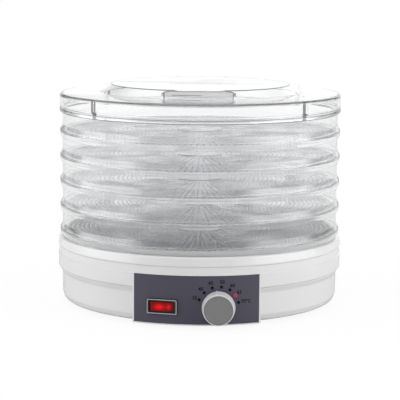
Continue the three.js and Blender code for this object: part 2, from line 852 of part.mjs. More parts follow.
addPart(product, 'heater_duct', heaterDuct(), STEEL);
addPart(product, 'heater_mica_cross', micaCross(), MICA);
COIL_RADII.forEach((radius, i) => {
  addPart(product, `heater_coil_${i + 1}`, heaterCoil(radius), NICHROME);
});
addPart(product, 'thermal_fuse', thermalFuse(), WHITE);
addPart(product, 'outlet_grille', outletGrille(), WHITE);

addPart(product, 'cord_gland', cordGland(), RUBBER);
addPart(product, 'terminal_block', terminalBlock(), INSULATION);
for (const [name, route] of Object.entries(WIRE_ROUTES)) {
  addPart(product, name, wireAlong(route, 1.1), INSULATION);
}

for (let level = 0; level < TRAY_COUNT; level += 1) {
  addPart(product, `tray_${level + 1}`, tray(), CLEAR).position.z = BASE_HEIGHT + level * TRAY_PITCH;
}

addPart(product, 'lid', lid(), CLEAR).position.z = BASE_HEIGHT + TRAY_COUNT * TRAY_PITCH;

const group = new THREE.Group();
group.add(product);

export default group;
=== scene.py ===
"""Looks for the food dehydrator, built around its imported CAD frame.

Blender 4.5, metres, +Z up, the front faces -Y. Lengths in outlines are in millimetres and are turned into
metres where a mesh is made. Angles round the drum are in degrees from straight ahead.
"""

import json
import math

import bmesh
import bpy
from mathutils import Matrix, Vector


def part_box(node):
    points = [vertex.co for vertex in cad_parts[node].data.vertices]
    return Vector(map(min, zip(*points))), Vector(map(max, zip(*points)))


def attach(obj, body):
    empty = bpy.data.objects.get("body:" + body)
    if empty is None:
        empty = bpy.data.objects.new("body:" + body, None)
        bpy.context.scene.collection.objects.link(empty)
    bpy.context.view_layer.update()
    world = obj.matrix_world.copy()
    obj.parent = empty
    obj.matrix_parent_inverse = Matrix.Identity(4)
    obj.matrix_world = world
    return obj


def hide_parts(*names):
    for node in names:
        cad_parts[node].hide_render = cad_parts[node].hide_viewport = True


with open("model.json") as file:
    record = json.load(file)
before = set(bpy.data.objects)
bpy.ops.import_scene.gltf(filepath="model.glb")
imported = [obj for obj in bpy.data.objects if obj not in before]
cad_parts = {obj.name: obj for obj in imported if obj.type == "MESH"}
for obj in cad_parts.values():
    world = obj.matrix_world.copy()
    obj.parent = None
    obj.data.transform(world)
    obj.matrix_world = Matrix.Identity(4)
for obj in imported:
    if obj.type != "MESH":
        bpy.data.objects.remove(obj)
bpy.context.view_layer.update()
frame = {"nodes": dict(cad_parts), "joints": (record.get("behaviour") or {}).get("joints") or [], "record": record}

MM = 0.001
STEPS_ROUND = 240  # steps round a large turned piece
FILLET_STEPS = 5
SHARP_ANGLE = 35  # degrees; a greater fold between two faces is shaded as a sharp edge
ON_AXIS = 1e-6  # a point nearer to the axis than this lies on it

# ---- Places that come from the frame, in millimetres ----

lid_low, lid_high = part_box("lid")
AXIS_Y = (lid_low.y + lid_high.y) / 2 / MM  # the drum's own axis, x = 0
SKIRT_DROP = 6  # how far the skirt of a tray or the lid hangs below the rim that it covers
LID_RIM = lid_low.z / MM + SKIRT_DROP
TRAYS = [f"tray_{level}" for level in range(1, 6)]
TRAY_RIMS = [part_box(name)[0].z / MM + SKIRT_DROP for name in TRAYS]
TRAY_PITCH = TRAY_RIMS[1] - TRAY_RIMS[0]
BASE_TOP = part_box("base_upper_shell")[1].z / MM
BASE_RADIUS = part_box("base_upper_shell")[1].x / MM
PAN_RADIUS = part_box("base_lower_shell")[1].x / MM
SEAM_GAP = 0.3
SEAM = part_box("base_lower_shell")[1].z / MM + SEAM_GAP  # lower edge of the upper shell

JOINTS = {joint["name"]: joint for joint in frame["joints"]}
rock_point = Vector(JOINTS["switch_rock"]["pos_m"]) / MM
SWITCH_ANGLE = math.atan2(rock_point.x, AXIS_Y - rock_point.y)
ROCKER_PIVOT_DEPTH = 3.4
SWITCH_FRONT = math.hypot(rock_point.x, AXIS_Y - rock_point.y) + ROCKER_PIVOT_DEPTH
dial_point = Vector(JOINTS["thermostat_turn"]["pos_m"]) / MM
CONTROL_HEIGHT = dial_point.z
KNOB_X = dial_point.x
DIAL_PLACE = Matrix.Translation((KNOB_X * MM, 0, CONTROL_HEIGHT * MM))


# ---- Mesh helpers ----


def add_object(name, data):
    piece = bpy.data.objects.new(name, data)
    bpy.context.scene.collection.objects.link(piece)
    return piece


def finish_mesh(name, bm, material, smooth=SHARP_ANGLE):
    """Turns a bmesh in millimetres into an object in metres, with rounded shading between sharp edges."""
    bmesh.ops.recalc_face_normals(bm, faces=bm.faces)
    bmesh.ops.scale(bm, vec=(MM, MM, MM), verts=bm.verts)
    mesh = bpy.data.meshes.new(name)
    bm.to_mesh(mesh)
    bm.free()
    mesh.shade_smooth()
    mesh.set_sharp_from_angle(angle=math.radians(smooth))
    piece = add_object(name, mesh)
    if material:
        mesh.materials.append(material)
    return piece


def weigh_normals(piece):
    modifier = piece.modifiers.new("even_shading", "WEIGHTED_NORMAL")
    modifier.keep_sharp = True


def rounded(corners):
    """A closed outline of (a, b) or (a, b, fillet radius) corners, with each fillet as an arc."""
    outline = []
    count = len(corners)
    for i, corner in enumerate(corners):
        here = Vector(corner[:2])
        radius = corner[2] if len(corner) > 2 else 0
        if not radius:
            outline.append(tuple(here))
            continue
        before = (Vector(corners[i - 1][:2]) - here).normalized()
        after = (Vector(corners[(i + 1) % count][:2]) - here).normalized()
        half = before.angle(after) / 2
        reach = radius / math.tan(half)
        centre = here + (before + after).normalized() * radius / math.sin(half)
        start = here + before * reach - centre
        end = here + after * reach - centre
        sweep = start.angle_signed(end)
        for k in range(FILLET_STEPS + 1):
            turn = Matrix.Rotation(-sweep * k / FILLET_STEPS, 2)
            outline.append(tuple(centre + turn @ start))
    return outline


def lathe(name, outline, material, segments=STEPS_ROUND, axis=(0, AXIS_Y), lift=0):
    """Turns a closed outline of (radius, height) points about a vertical line through axis."""
    bm = bmesh.new()
    rings = []
    for radius, height in outline:
        if radius < ON_AXIS:
            rings.append([bm.verts.new((axis[0], axis[1], height + lift))])
            continue
        ring = []
        for k in range(segments):
            angle = 2 * math.pi * k / segments
            x = axis[0] + radius * math.sin(angle)
            y = axis[1] - radius * math.cos(angle)
            ring.append(bm.verts.new((x, y, height + lift)))
        rings.append(ring)
    for a, b in zip(rings, rings[1:] + rings[:1]):
        if len(a) == 1 and len(b) == 1:
            continue
        for k in range(segments):
            corners = [a[k % len(a)], a[(k + 1) % len(a)], b[(k + 1) % len(b)], b[k % len(b)]]
            bm.faces.new(list(dict.fromkeys(corners)))
    return finish_mesh(name, bm, material)


def block(name, low, high, material=None):
    bm = bmesh.new()
    bmesh.ops.create_cube(bm, size=1)
    size = Vector(high) - Vector(low)
    bmesh.ops.scale(bm, vec=size, verts=bm.verts)
    bmesh.ops.translate(bm, vec=(Vector(high) + Vector(low)) / 2, verts=bm.verts)
    return finish_mesh(name, bm, material)


def extrude(bm, face, move):
    grown = bmesh.ops.extrude_face_region(bm, geom=[face])["geom"]
    bmesh.ops.translate(bm, vec=move, verts=[v for v in grown if isinstance(v, bmesh.types.BMVert)])


def plate(name, outline, low, high, material=None):
    """A plate whose front outline is (x, z) points and which runs from y = low to y = high."""
    bm = bmesh.new()
    face = bm.faces.new([bm.verts.new((x, low, z)) for x, z in outline])
    extrude(bm, face, (0, high - low, 0))
    return finish_mesh(name, bm, material)


def box_outline(half_width, low, high, fillet):
    corners = [(-half_width, low), (half_width, low), (half_width, high), (-half_width, high)]
    return rounded([(*corner, fillet) for corner in corners])


def centred_outline(half_width, half_height, fillet):
    return box_outline(half_width, -half_height, half_height, fillet)


def apply_modifiers(piece):
    """Leaves the piece with its evaluated mesh and no modifiers."""
    graph = bpy.context.evaluated_depsgraph_get()
    mesh = bpy.data.meshes.new_from_object(piece.evaluated_get(graph))
    piece.modifiers.clear()
    piece.data = mesh


def boolean(piece, tool, operation):
    """Cuts, joins or intersects with another object, which is used up."""
    modifier = piece.modifiers.new("cut", "BOOLEAN")
    modifier.operation = operation
    modifier.solver = "EXACT"
    modifier.object = tool
    apply_modifiers(piece)
    bpy.data.objects.remove(tool)


def bevel(piece, width, segments=3, angle=35):
    modifier = piece.modifiers.new("edge", "BEVEL")
    modifier.width = width * MM
    modifier.segments = segments
    modifier.limit_method = "ANGLE"
    modifier.angle_limit = math.radians(angle)
    apply_modifiers(piece)


def reshade(piece, smooth=SHARP_ANGLE):
    piece.data.shade_smooth()
    piece.data.set_sharp_from_angle(angle=math.radians(smooth))
    weigh_normals(piece)


def recolor(piece, material):
    """Leaves the piece with this one material."""
    piece.data.materials.clear()
    piece.data.materials.append(material)


def wrap(piece, step=1.5):
    """Bends a flat piece round the drum, with an edge every few degrees.

    In the flat piece x is length along the base radius and -y is distance from the axis.
    """
    bm = bmesh.new()
    bm.from_mesh(piece.data)
    low = min(v.co.x for v in bm.verts)
    high = max(v.co.x for v in bm.verts)
    spacing = math.radians(step) * BASE_RADIUS * MM
    for k in range(math.ceil(low / spacing), math.floor(high / spacing) + 1):
        geometry = bm.verts[:] + bm.edges[:] + bm.faces[:]
        bmesh.ops.bisect_plane(bm, geom=geometry, plane_co=(k * spacing, 0, 0), plane_no=(1, 0, 0))
    for v in bm.verts:
        angle = v.co.x / (BASE_RADIUS * MM)
        radius = -v.co.y
        v.co.x = radius * math.sin(angle)
        v.co.y = AXIS_Y * MM - radius * math.cos(angle)
    bm.to_mesh(piece.data)
    bm.free()


def round_axis(degrees, height=0):
    """Carries a shape modelled about the origin to the drum's axis, turned about it and lifted."""
    move = Matrix.Translation((0, AXIS_Y * MM, height * MM))
    return move @ Matrix.Rotation(math.radians(degrees), 4, "Z")


# Stands a lying shape up to face the front, and lays a plate down.
QUARTER_TURN = Matrix.Rotation(math.radians(90), 4, "X")
SLOT_COUNT = 15
SLOT_PITCH = 24  # degrees


def cut_slots(piece, outline, low, high, first=0, lift=0):
    """Cuts a ring of radial slots through a lying surface, the first at an angle, at a height."""
    for k in range(SLOT_COUNT):
        slot = plate("slot", outline, low, high)
        slot.data.transform(round_axis(first + SLOT_PITCH * k, lift) @ QUARTER_TURN)
        boolean(piece, slot, "DIFFERENCE")


def place(piece, body, slot, *nodes):
    """Names what the piece rides on and which CAD nodes it stands for; slot, which finish it takes, is not used.
    """
    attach(piece, body)
    if nodes:
        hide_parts(*nodes)


# ---- Node helpers ----

MIX_INPUTS = (0, 6, 7)  # factor and the two colours of a colour Mix node
MIX_RESULT = 2
NOISE_RANGE = (0.3, 0.7)  # the part of 0..1 in which nearly all noise values lie


def shader_of(material):
    return material.node_tree.nodes["Principled BSDF"]


def new_material(name, color, roughness, metallic=0.0, **sockets):
    material = bpy.data.materials.new(name)
    material.use_nodes = True
    shader = shader_of(material)
    shader.inputs["Base Color"].default_value = (*color, 1)
    shader.inputs["Roughness"].default_value = roughness
    shader.inputs["Metallic"].default_value = metallic
    for socket, value in sockets.items():
        shader.inputs[socket.replace("_", " ")].default_value = value
    return material


def add_node(material, kind, **settings):
    node = material.node_tree.nodes.new(kind)
    for name, value in settings.items():
        if name in node.inputs:
            node.inputs[name].default_value = value
        else:
            setattr(node, name, value)
    return node


def join(material, output, entry):
    material.node_tree.links.new(output, entry)


def feed(material, entry, value):
    """Gives an input another node's output, a colour or a number."""
    if isinstance(value, bpy.types.NodeSocket):
        join(material, value, entry)
    elif isinstance(value, (tuple, list)):
        entry.default_value = (*value, 1)
    else:
        entry.default_value = value


def calculate(material, operation, *values):
    node = add_node(material, "ShaderNodeMath", operation=operation)
    for entry, value in zip(node.inputs, values):
        feed(material, entry, value)
    return node.outputs[0]


def mix_colors(material, *values):
    """Mixes by a factor between two colours."""
    node = add_node(material, "ShaderNodeMix", data_type="RGBA")
    for entry, value in zip(MIX_INPUTS, values):
        feed(material, node.inputs[entry], value)
    return node.outputs[MIX_RESULT]


def map_range(material, value, source, target, **settings):
    """Carries a value from one (low, high) range to another."""
    node = add_node(material, "ShaderNodeMapRange", **settings)
    join(material, value, node.inputs["Value"])
    for label, (low, high) in (("From", source), ("To", target)):
        node.inputs[f"{label} Min"].default_value = low
        node.inputs[f"{label} Max"].default_value = high
    return node.outputs["Result"]


def mapped(material, vector, **settings):
    node = add_node(material, "ShaderNodeMapping", **settings)
    join(material, vector, node.inputs["Vector"])
    return node.outputs["Vector"]


def noise(material, scale, stretch=(1, 1, 1), detail=3.0):
    node = add_node(material, "ShaderNodeTexNoise", Scale=scale, Detail=detail)
    source = add_node(material, "ShaderNodeTexCoord")
    join(material, mapped(material, source.outputs["Object"], Scale=stretch), node.inputs["Vector"])
    return node.outputs["Fac"]


def vary_roughness(material, scale, low, high, stretch=(1, 1, 1)):
    value = map_range(material, noise(material, scale, stretch), NOISE_RANGE, (low, high))
    join(material, value, shader_of(material).inputs["Roughness"])


def vary_color(material, scale, first, second, stretch=(1, 1, 1)):
    value = mix_colors(material, noise(material, scale, stretch), first, second)
    join(material, value, shader_of(material).inputs["Base Color"])


def add_bump(material, height, strength, distance):
    node = add_node(material, "ShaderNodeBump", Strength=strength, Distance=distance)
    join(material, height, node.inputs["Height"])
    join(material, node.outputs["Normal"], shader_of(material).inputs["Normal"])


# ---- Materials ----


def moulded(name, color, roughness, grain=2500, bump=0.15, **sockets):
    """Moulded plastic: a fine eroded grain, and a colour and roughness that drift a little."""
    material = new_material(name, color, roughness, **sockets)
    lighter = tuple(min(1, c * 1.01) for c in color)
    darker = tuple(c * 0.99 for c in color)
    vary_color(material, 35, darker, lighter)
    vary_roughness(material, 60, roughness * 0.95, roughness * 1.05)
    add_bump(material, noise(material, grain), bump, 0.00008)
    return material


def metal(name, color, roughness, stretch=(1, 1, 30), scale=300, bump=0.2, metallic=1.0):
    """Rolled, drawn or plated metal: fine lines along one direction."""
    material = new_material(name, color, roughness, metallic)
    vary_color(material, 80, tuple(c * 0.88 for c in color), color)
    vary_roughness(material, scale, roughness * 0.7, roughness * 1.3, stretch)
    add_bump(material, noise(material, scale * 2, stretch), bump, 0.00005)
    return material


def clear_material(name, roughness, tint):
    """Clear moulded plastic: very slightly wavy, with a haze that comes and goes."""
    material = new_material(name, tint, roughness, Transmission_Weight=1.0, IOR=1.49)
    add_bump(material, noise(material, 9, detail=1.0), 0.03, 0.004)
    vary_roughness(material, 40, roughness * 0.5, roughness * 1.5)
    return material


def painted_edge_material(name, color, clearness):
    """Tinted plastic that paints the shade seen along an edge of clear plastic, where light is led away sideways.
    """
    return moulded(name, color, 0.3, 1500, 0.05, Transmission_Weight=clearness)


def mica_material():
    material = new_material("mica", (0.55, 0.47, 0.36), 0.45)
    vary_color(material, 120, (0.42, 0.34, 0.24), (0.66, 0.58, 0.46), (1, 1, 0.3))
    vary_roughness(material, 260, 0.3, 0.6)
    add_bump(material, noise(material, 500, (1, 1, 0.2)), 0.5, 0.0002)
    return material


# The rocker's bright spots, partly the lamp's glow and partly painted highlight: place from its middle and reach
# sideways, both of its own size, and power.
ROCKER_GLOW_HIGHLIGHTS = ((-0.13, 0.40, 1.6), (0.27, 0.20, 1.2))
SPOT_RISE = 0.55  # how far each reaches up and down
ROCKER_DIM = (0.04, 0.0, 0.0)
ROCKER_BRIGHT = (1.0, 0.008, 0.012)
ROCKER_GLOW = 0.62


def rocker_material():
    """Red translucent plastic lit by the lamp inside: two hot spots, partly the lamp's glow and partly painted
    highlight, with a darker web between them.
    """
    material = new_material("rocker_red", (0.20, 0.001, 0.002), 0.35, Specular_IOR_Level=0.2)
    source = add_node(material, "ShaderNodeTexCoord")
    amounts = []
    for centre, reach, power in ROCKER_GLOW_HIGHLIGHTS:
        shifted = mapped(material, source.outputs["Generated"], Location=(-0.5 - centre, -0.5, -0.5))
        scaled = mapped(material, shifted, Scale=(1 / reach, 0, 1 / SPOT_RISE))
        spot = add_node(material, "ShaderNodeTexGradient", gradient_type="QUADRATIC_SPHERE")
        join(material, scaled, spot.inputs["Vector"])
        amounts.append(calculate(material, "MULTIPLY", spot.outputs["Fac"], power))
    glow = calculate(material, "ADD", *amounts)
    shader = shader_of(material)
    join(material, mix_colors(material, glow, ROCKER_DIM, ROCKER_BRIGHT), shader.inputs["Emission Color"])
    shader.inputs["Emission Strength"].default_value = ROCKER_GLOW
    add_bump(material, noise(material, 1500), 0.05, 0.0001)
    return material


def knob_face_material():
    """Matt grey disc with faint concentric turning marks about the dial's own line."""
    material = new_material("knob_face", (0.225, 0.225, 0.225), 0.5, 0.1)
    source = add_node(material, "ShaderNodeTexCoord")
    centred = mapped(material, source.outputs["Object"], Location=(-KNOB_X * MM, 0, -CONTROL_HEIGHT * MM))
    marks = add_node(material, "ShaderNodeTexWave", wave_type="RINGS", rings_direction="Y", Scale=450)
    join(material, centred, marks.inputs["Vector"])
    value = map_range(material, marks.outputs["Fac"], NOISE_RANGE, (0.46, 0.56))
    join(material, value, shader_of(material).inputs["Roughness"])
    vary_color(material, 900, (0.21, 0.21, 0.21), (0.24, 0.24, 0.24))
    add_bump(material, marks.outputs["Fac"], 0.08, 0.00005)
    return material


MATERIALS = {
    "clear_plastic": clear_material("clear_plastic", 0.02, (0.985, 0.987, 0.99)),
    "white_shell": moulded(
        "white_shell", (0.80, 0.80, 0.80), 0.26, bump=0.08, Coat_Weight=0.7, Coat_Roughness=0.15
    ),
    "slate_panel": moulded("slate_panel", (0.066, 0.061, 0.092), 0.45, 3500, 0.1, Specular_IOR_Level=0.5),
    "black_plastic": moulded("black_plastic", (0.014, 0.014, 0.015), 0.35),
    "knob_ring": metal("knob_ring", (0.80, 0.80, 0.81), 0.38, (30, 1, 30), 120, 0.08, 0.3),
    "knob_face": knob_face_material(),
    "rocker_red": rocker_material(),
    "steel": metal("steel", (0.60, 0.61, 0.62), 0.32),
    "motor_can": metal("motor_can", (0.55, 0.55, 0.53), 0.38, (1, 1, 20)),
    "brass": metal("brass", (0.72, 0.55, 0.26), 0.3),
    "copper": metal("copper", (0.80, 0.44, 0.30), 0.3),
    "heating_wire": metal("heating_wire", (0.22, 0.20, 0.19), 0.5),
    "mica": mica_material(),
    "fuse_ceramic": moulded("fuse_ceramic", (0.78, 0.77, 0.72), 0.6, 4000, 0.3),
    "terminal_nylon": moulded("terminal_nylon", (0.72, 0.71, 0.64), 0.45),
    "wire_sleeve": moulded("wire_sleeve", (0.70, 0.68, 0.62), 0.5, 3000, 0.2),
    "rubber": moulded("rubber", (0.022, 0.022, 0.024), 0.75, 3500, 0.35),
}
MESH_PLASTIC = clear_material("mesh_plastic", 0.18, (0.93, 0.935, 0.945))
# Painted shade: tinted plastics, from pale to dark, that stand for the dark lines along edges of clear plastic.
PALE_EDGE_SHADE = painted_edge_material("painted_edge_shade_pale", (0.92, 0.92, 0.93), 0.9)
SOFT_EDGE_SHADE = painted_edge_material("painted_edge_shade_soft", (0.72, 0.72, 0.73), 0.6)
GREY_EDGE_SHADE = painted_edge_material("painted_edge_shade_grey", (0.55, 0.55, 0.56), 0.4)
DARK_EDGE_SHADE = painted_edge_material("painted_edge_shade_dark", (0.16, 0.16, 0.165), 0.0)
INK = moulded("dial_ink", (0.003, 0.003, 0.005), 0.6, 4000, 0.1, Specular_IOR_Level=0.1)
RED_INK = moulded("dial_red_ink", (0.50, 0.03, 0.10), 0.4, 4000, 0.1)
# Painted highlight: light grey for the rim that stands for the light caught on the switch bezel's bevel.
BEZEL_HIGHLIGHT_GREY = metal("bezel_painted_highlight", (0.62, 0.62, 0.64), 0.35)

for part in frame["record"]["subparts"]:
    for entry in frame["nodes"][part["node"]].material_slots:
        entry.material = MATERIALS[part["material_slot"]]


# ---- Trays ----

TRAY_OUTLINE = rounded(
    [
        (157.4, -5.9, 0.2),
        (158.6, -5.9, 0.2),
        (159.9, -2.4, 3),
        (160, 2.0, 3),
        (158.4, 5.2, 4),
        (157, 8.4, 3),
        (157, TRAY_PITCH - 0.1, 0.3),
        (155.8, TRAY_PITCH - 0.1, 0.3),
        (155.8, 8.1, 2),
        (157.3, 4.7, 3),
        (158.8, 1.6, 0.5),
        (152, 1.6),
        (152, 0.4),
        (158.8, 0.4, 0.5),
        (158.7, -2.2, 2),
    ]
)

MESH_RIM = 151.95
MESH_HUB = 26
MESH_PITCH = 5.25
MESH_BAR = 1.35
MESH_RIBS = 144
MESH_TOP = 1.6
MESH_BOTTOM = 0.4
QUARTER_RIBS = 48  # inside this radius only every fourth rib is there
HALF_RIBS = 98  # and inside this one every second
WIDEST_RIB = 0.3  # half a rib takes at most this share of the angle between two ribs
MESH_SHARP = 20  # degrees


def mesh_radii():
    """Radii at which solid rings and open bands take turns; each band runs to the next radius."""
    rings = round((MESH_RIM - MESH_HUB) / MESH_PITCH)
    pitch = (MESH_RIM - MESH_HUB - MESH_BAR) / rings
    radii = [0.0, MESH_HUB]
    for i in range(1, rings):
        radii += [MESH_HUB + i * pitch, MESH_HUB + i * pitch + MESH_BAR]
    return radii + [MESH_RIM - MESH_BAR, MESH_RIM]


def mesh_circles(bm, radii, height):
    every = 2 * math.pi / MESH_RIBS
    circles = [[bm.verts.new((0, AXIS_Y, height))]]
    for radius in radii[1:]:
        half = min(MESH_BAR / 2 / radius, WIDEST_RIB * every)
        circle = []
        for k in range(MESH_RIBS):
            for angle in (k * every - half, k * every + half):
                x = radius * math.sin(angle)
                circle.append(bm.verts.new((x, AXIS_Y - radius * math.cos(angle), height)))
        circles.append(circle)
    return circles


def mesh_floor(name, rim):
    """A pierced disc: rings every few millimetres and ribs that double in number outwards."""
    radii = mesh_radii()
    bm = bmesh.new()
    layers = [mesh_circles(bm, radii, rim + height) for height in (MESH_TOP, MESH_BOTTOM)]
    top, bottom = layers
    count = 2 * MESH_RIBS  # cells round a band: even ones are ribs, odd ones the gaps between them

    def add_upright(ring, cell, after):
        bm.faces.new((top[ring][cell], top[ring][after], bottom[ring][after], bottom[ring][cell]))

    def is_solid(band, cell):
        if band % 2 == 0:
            return True
        middle = (radii[band] + radii[band + 1]) / 2
        stride = 4 if middle < QUARTER_RIBS else 2 if middle < HALF_RIBS else 1
        return cell % 2 == 0 and (cell // 2) % stride == 0

    for cell in range(count):
        after = (cell + 1) % count
        for circles in layers:
            bm.faces.new((circles[0][0], circles[1][cell], circles[1][after]))
        for band in range(1, len(radii) - 1):
            outer = band + 1
            solid = is_solid(band, cell)
            if solid:
                for circles in layers:
                    near, far = circles[band], circles[outer]
                    bm.faces.new((near[cell], near[after], far[after], far[cell]))
            if solid != is_solid(band, after):
                wall = (top[band], top[outer], bottom[outer], bottom[band])
                bm.faces.new([circle[after] for circle in wall])
            beyond = band + 2 < len(radii) and is_solid(outer, cell)
            if solid != beyond:
                add_upright(outer, cell, after)
            if band == 1 and not solid:
                add_upright(1, cell, after)
    return finish_mesh(name, bm, MESH_PLASTIC, MESH_SHARP)


def build_trays():
    first_floor = None
    for name, rim in zip(TRAYS, TRAY_RIMS):
        wall = lathe(f"{name}_wall", TRAY_OUTLINE, MATERIALS["clear_plastic"], lift=rim)
        weigh_normals(wall)
        place(wall, name, "clear_plastic", name)
        floor_name = f"{name}_mesh_floor"
        if first_floor is None:
            piece = mesh_floor(floor_name, rim)
            first_floor = piece.data
        else:
            copy = first_floor.copy()
            copy.transform(Matrix.Translation((0, 0, (rim - TRAY_RIMS[0]) * MM)))
            piece = add_object(floor_name, copy)
        place(piece, name, "clear_plastic")


build_trays()


# ---- Lid ----

LID_OUTLINE = rounded(
    [
        (157.4, -5.9, 0.4),
        (159.2, -5.9, 0.8),
        (160.5, -3.6, 1.2),
        (160, -1.0, 1.5),
        (160, 15.6, 3.4),
        (115, 17, 2),
        (101.8, 25.7, 1.6),
        (0, 25.95),
        (0, 23.95),
        (101.0, 23.7, 1),
        (114.4, 15, 2),
        (158, 13.7, 2.2),
        (158, 1.8),
        (155.5, 1.8, 0.3),
        (155.5, 0.4, 0.3),
        (157.4, 0.4, 0.3),
    ]
)
LID_ENVELOPE = [(0, 4), (154, 4), (154, 15.5), (115, 16.9), (101.8, 25.4), (101, 25.8), (0, 25.9)]
GRIP_HALF = 38
GRIP_WALL = 98  # distance of the recess's upright wall from the axis
VENT_OUTLINE = [(0, 5), (1.6, 5), (1.6, 30), (0, 30)]
VENT_ANGLE = 62
VENT_CIRCLE = 130

# Bars at the front of the lid, about its axis and above its rim: name, low corner, high corner, material. The
# tinted bars are painted shade: the rib's side, the tab and its root, the recess's wall and ends, and a painted
# shadow line at the finger slot.
RIB_ANGLES = (47.2, -46, 132.5, -132.5)
RIB_SHAPES = (
    ("web", (-1.2, -157.9, 2), (2.8, -156, 14.6), MATERIALS["clear_plastic"]),
    ("side", (-2.4, -157.9, 2), (-1.2, -154.6, 14.6), GREY_EDGE_SHADE),
    ("tab", (-2.2, -155.4, -4.6), (1.9, -153.2, 1.7), DARK_EDGE_SHADE),
    ("tab_root", (-2.2, -157.8, 0.5), (1.9, -155.2, 1.7), GREY_EDGE_SHADE),
)
RECESS_SHAPES = (
    ("wall", (-36, -99.6, 17.9), (36, -98.4, 24.6), PALE_EDGE_SHADE),
    ("left_end", (-37.9, -103, 17.4), (-36.6, -99, 24.2), GREY_EDGE_SHADE),
    ("right_end", (36.6, -103, 17.4), (37.9, -99, 24.2), GREY_EDGE_SHADE),
    ("finger_slot_shadow", (-29, -100.2, 19.8), (3, -99.4, 20.6), GREY_EDGE_SHADE),
)
# Strips of painted shade round the lid: name, inner and outer radius, lower and upper height, material.
EDGE_STRIPS = (
    ("lip_low", 158.2, 159.3, -5.6, -4.9, GREY_EDGE_SHADE),
    ("lip_high", 158.6, 159.6, -2.2, -1.7, GREY_EDGE_SHADE),
    ("corner_low", 157.4, 158.6, 13.3, 13.9, SOFT_EDGE_SHADE),
    ("corner_band", 157.2, 158.2, 14.0, 15.3, PALE_EDGE_SHADE),
    ("disc_low", 100.6, 101.6, 24.2, 24.7, GREY_EDGE_SHADE),
)


def grip_block(sign, half, near, far, low, high):
    """A box across the front (sign -1) or the back (sign 1) of the lid, from near to far from its axis."""
    ends = sorted((AXIS_Y + sign * near, AXIS_Y + sign * far))
    return block("grip_block", (-half, ends[0], LID_RIM + low), (half, ends[1], LID_RIM + high))


def build_lid():
    lid = lathe("lid_shell", LID_OUTLINE, MATERIALS["clear_plastic"], lift=LID_RIM)
    for sign in (-1, 1):
        walls = grip_block(sign, GRIP_HALF + 2, near=GRIP_WALL - 2, far=125, low=15, high=30)
        envelope = lathe("envelope", LID_ENVELOPE, None, lift=LID_RIM)
        boolean(walls, envelope, "INTERSECT")
        boolean(lid, walls, "UNION")
        recess = grip_block(sign, GRIP_HALF, near=GRIP_WALL, far=125.5, low=17.3, high=27)
        boolean(lid, recess, "DIFFERENCE")
        slot = grip_block(sign, GRIP_HALF - 6, near=GRIP_WALL - 3, far=GRIP_WALL + 1, low=19.5, high=22.5)
        boolean(lid, slot, "DIFFERENCE")
    angle = math.radians(VENT_ANGLE)
    centre = (VENT_CIRCLE * math.sin(angle), AXIS_Y - VENT_CIRCLE * math.cos(angle))
    vent = lathe("vent", VENT_OUTLINE, None, 24, centre, LID_RIM)
    boolean(lid, vent, "DIFFERENCE")
    recolor(lid, MATERIALS["clear_plastic"])
    reshade(lid)
    place(lid, "lid", "clear_plastic", "lid")


def build_lid_bars(prefix, shapes, degrees, edge):
    for label, low, high, material in shapes:
        bar = block(f"{prefix}_{label}", low, high, material)
        bevel(bar, edge, 2)
        bar.data.transform(round_axis(degrees, LID_RIM))
        reshade(bar)
        place(bar, "lid", "clear_plastic")


def build_lid_shade_strips():
    """Clear plastic leads light away along its edges, so they look dark: thin tinted strips paint that shade."""
    for label, inner, outer, low, high, material in EDGE_STRIPS:
        outline = rounded([(inner, low), (outer, low), (outer, high), (inner, high)])
        strip = lathe(f"lid_edge_shade_{label}", outline, material, lift=LID_RIM)
        place(strip, "lid", "clear_plastic")


build_lid()
for i, angle in enumerate(RIB_ANGLES):
    build_lid_bars(f"lid_rib_{i + 1}", RIB_SHAPES, angle, 0.25)
for side, angle in (("front", 0), ("back", 180)):
    build_lid_bars(f"lid_recess_{side}", RECESS_SHAPES, angle, 0.2)
build_lid_shade_strips()


# ---- Base shells and control panel ----

FRAME_HALF_ANGLE = 25.1  # white surround of the panel
FRAME_PLAY = 0.03  # degrees between the surround and the shells
FRAME_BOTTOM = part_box("panel_frame")[0].z / MM
FRAME_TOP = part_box("panel_frame")[1].z / MM
PANEL_HALF_ANGLE = 24.4
PANEL_BOTTOM = 5
PANEL_TOP = 57.2
CREASE = 58.2  # height of the shallow crease round the upper shell
RIDGE = 68  # height of the ridge above it
CUTTER_RADIUS = 172  # beyond the whole base


def arc_length(degrees):
    return math.radians(degrees) * BASE_RADIUS


def frame_cutter(low, high, inner):
    """A cutter for the surround's place in a shell, between two heights and outwards from a radius."""
    outline = box_outline(arc_length(FRAME_HALF_ANGLE + FRAME_PLAY), low, high, 0.5)
    cutter = plate("frame_cutter", outline, -CUTTER_RADIUS, -inner)
    wrap(cutter)
    return cutter


def build_upper_shell():
    r = BASE_RADIUS
    outline = rounded(
        [
            (r - 1.2, SEAM),
            (r - 0.3, SEAM + 1.2, 0.8),
            (r - 0.3, CREASE - 0.5),
            (r - 0.9, CREASE),
            (r - 0.7, CREASE + 0.5),
            (r - 1.3, RIDGE - 1.6, 1.2),
            (r - 0.2, RIDGE - 0.5, 0.5),
            (r - 0.2, RIDGE + 0.5, 0.8),
            (r - 1.4, 76.2, 1.2),
            (158.4, 77.3, 0.6),
            (157, 77.6, 0.3),
            (157, BASE_TOP - 0.1, 0.6),
            (155, BASE_TOP - 0.1, 0.6),
            (154.8, 78, 1.5),
            (60, 75.5, 0.5),
            (60, 73),
            (152.5, 75.5),
            (157, 73.6),
            (r - 2.5, 68),
            (r - 2.5, 44.5),
            (152.6, 44.5),
            (152.6, 38),
            (154.9, 38),
            (154.9, SEAM),
        ]
    )
    shell = lathe("upper_shell", outline, MATERIALS["white_shell"])
    boolean(shell, frame_cutter(30, FRAME_TOP + 0.08, 156.2), "DIFFERENCE")
    reshade(shell)
    place(shell, "base", "white_shell", "base_upper_shell")


